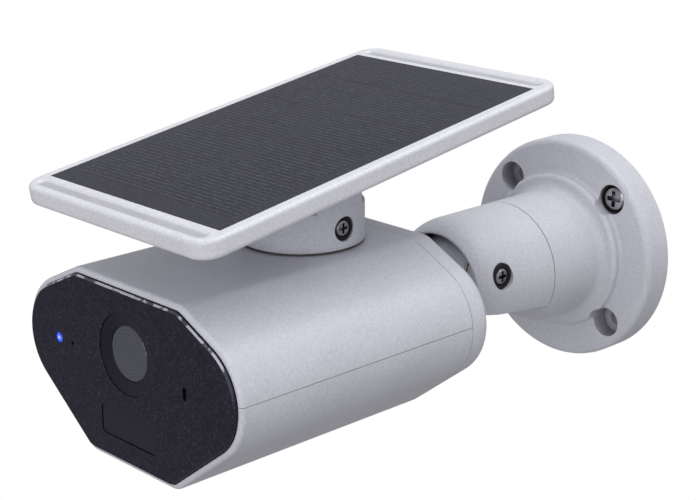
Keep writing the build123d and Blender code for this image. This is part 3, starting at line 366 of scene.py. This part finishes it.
white = moulding("white_moulding", (0.64, 0.64, 0.705), 0.44)
white_frame = moulding(
    "white_frame", (0.77, 0.77, 0.82), 0.36,
    grain=1.2e-5, edge_tone=1.2, sunk=(FRAME_FACE, PANEL_UP),
)
black = moulding("black_moulding", (0.0045, 0.0040, 0.0085), 0.45, edge_tone=3.0, sheen=DARK_SHEEN)
acetal = moulding("acetal", (0.62, 0.61, 0.57), 0.35)
steel = metal("plated_steel", (0.46, 0.46, 0.475), 0.34)
tin = metal("tinned_steel", (0.62, 0.62, 0.63), 0.28, brushed=(1, 12, 1))
brass = metal("turned_brass", (0.62, 0.43, 0.17), 0.26)
rubber = rubbery("seal_rubber", (0.006, 0.006, 0.007))
sleeve = moulding("cell_sleeve", (0.03, 0.14, 0.32), 0.25, grain=4.0e-6)
window = moulding(
    "dark_window", (0.0115, 0.0108, 0.0200), 0.40, grain=6.0e-6, edge_tone=2.0, sheen=DARK_SHEEN,
)
board = circuit("circuit_board")
gloss = front_gloss()
clear = lens_glass("lens_glass", (0.092, 0.092, 0.120), 0.60)
element = lens_glass("element_glass", (0.030, 0.020, 0.040), 0.30)
glow = lamp_glow()
barrel = barrel_black()
cells = laminate()

FINISHES = {
    white: (
        "wall_plate", "hood", "knuckle_arm", "lock_ring", "upper_shell", "lower_shell", "rear_cap",
        "turret", "panel_lug", "panel_back", "port_flap", "port_housing",
    ),
    white_frame: ("panel_frame",),
    gloss: ("front_cover",),
    window: ("motion_window",),
    clear: ("lens_window",),
    element: ("lens_element",),
    barrel: ("lens_barrel",),
    black: (
        "lens_bezel", "camera_module", "speaker", "battery_tray", "turret_retainer", "light_sensor",
        "reset_button",
    ),
    glow: ("status_light",),
    cells: ("solar_cells",),
    rubber: ("base_pad", "cover_gasket", "wall_screw_seal", "pivot_seal", "hinge_seal"),
    steel: (
        "wall_screw", "pivot_screw", "pivot_nut", "swivel_bolt", "cap_screws", "board_screws",
        "main_board_screws", "retainer_screws", "hinge_screw", "hinge_nut", "lug_screws",
        "panel_screws",
    ),
    tin: ("usb_socket", "motion_sensor", "microphone", "radio_shield"),
    brass: ("stem_insert",),
    acetal: ("swivel_washer", "friction_washers", "turret_bearing"),
    board: ("port_board", "front_board", "main_board", "antenna"),
    sleeve: ("battery_cells",),
}
for finish, names in FINISHES.items():
    for name in names:
        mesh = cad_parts[name].data
        mesh.materials.clear()
        mesh.materials.append(finish)

# ------------------------------------------------------------------ studio

FLOOR_Z = -0.60
AMBIENT, AMBIENT_STRENGTH = (0.97, 0.98, 1.0), 0.555


def plain_floor():
    """Pale grey paper that shows as white, so that it throws little light back up."""
    look = Look("studio_floor")
    tone = look.span(look.noise(3.0, 3), 0.3, 0.7, 0.36, 0.38)
    paper = look.add("BsdfPrincipled", Base_Color=look.grey(tone), Roughness=0.9)
    lit = look.add("Emission", Color=(1.0, 1.0, 1.0), Strength=1.0)
    seen = look.add("LightPath").outputs["Is Camera Ray"]
    return look.mixed(seen, paper.outputs[0], lit.outputs[0])


bpy.ops.mesh.primitive_plane_add(size=40, location=(0, 0, FLOOR_Z))
floor = bpy.context.object
floor.name = "studio_floor"
floor.data.materials.append(plain_floor())


def softbox(name, place, size, power):
    """A square area light that faces the middle of the object."""
    light = bpy.data.lights.new(name, "AREA")
    light.shape, light.size, light.size_y = "RECTANGLE", size, size
    light.energy = power
    lamp = bpy.data.objects.new(name, light)
    bpy.context.scene.collection.objects.link(lamp)
    lamp.location = place
    lamp.rotation_euler = (Vector((0, -0.1, 0)) - Vector(place)).to_track_quat("-Z", "Y").to_euler()


softbox("key_light", (0.35, 0.25, 1.25), 1.2, 9.5)
softbox("front_light", (0.55, -1.35, 0.30), 0.9, 7.0)

world = bpy.data.worlds.new("studio")
bpy.context.scene.world = world
world.use_nodes = True
world.node_tree.nodes.clear()


def backdrop(color, strength):
    background = world.node_tree.nodes.new("ShaderNodeBackground")
    background.inputs["Color"].default_value = (*color, 1)
    background.inputs["Strength"].default_value = strength
    return background.outputs[0]


light_path = world.node_tree.nodes.new("ShaderNodeLightPath")
choose = world.node_tree.nodes.new("ShaderNodeMixShader")
sky = world.node_tree.nodes.new("ShaderNodeOutputWorld")
for source, target in (
    (light_path.outputs["Is Camera Ray"], choose.inputs[0]),
    (backdrop(AMBIENT, AMBIENT_STRENGTH), choose.inputs[1]),
    (backdrop((1, 1, 1), 1.0), choose.inputs[2]),
    (choose.outputs[0], sky.inputs["Surface"]),
):
    world.node_tree.links.new(source, target)

bpy.context.scene.view_settings.view_transform = "Standard"

# ------------------------------------------------------------------ camera

AZIMUTH, ELEVATION = radians(46.2), radians(17.4)
camera_data = bpy.data.cameras.new("camera")
camera_data.lens = 85.6
camera_data.sensor_width = 36.0
camera_data.clip_start, camera_data.clip_end = 0.01, 50.0
camera = bpy.data.objects.new("camera", camera_data)
bpy.context.scene.collection.objects.link(camera)
camera.location = (0.3545, -0.4559, 0.1756)
forward = Vector((-sin(AZIMUTH) * cos(ELEVATION), cos(AZIMUTH) * cos(ELEVATION), -sin(ELEVATION)))
camera.rotation_euler = forward.to_track_quat("-Z", "Y").to_euler()
bpy.context.scene.camera = camera
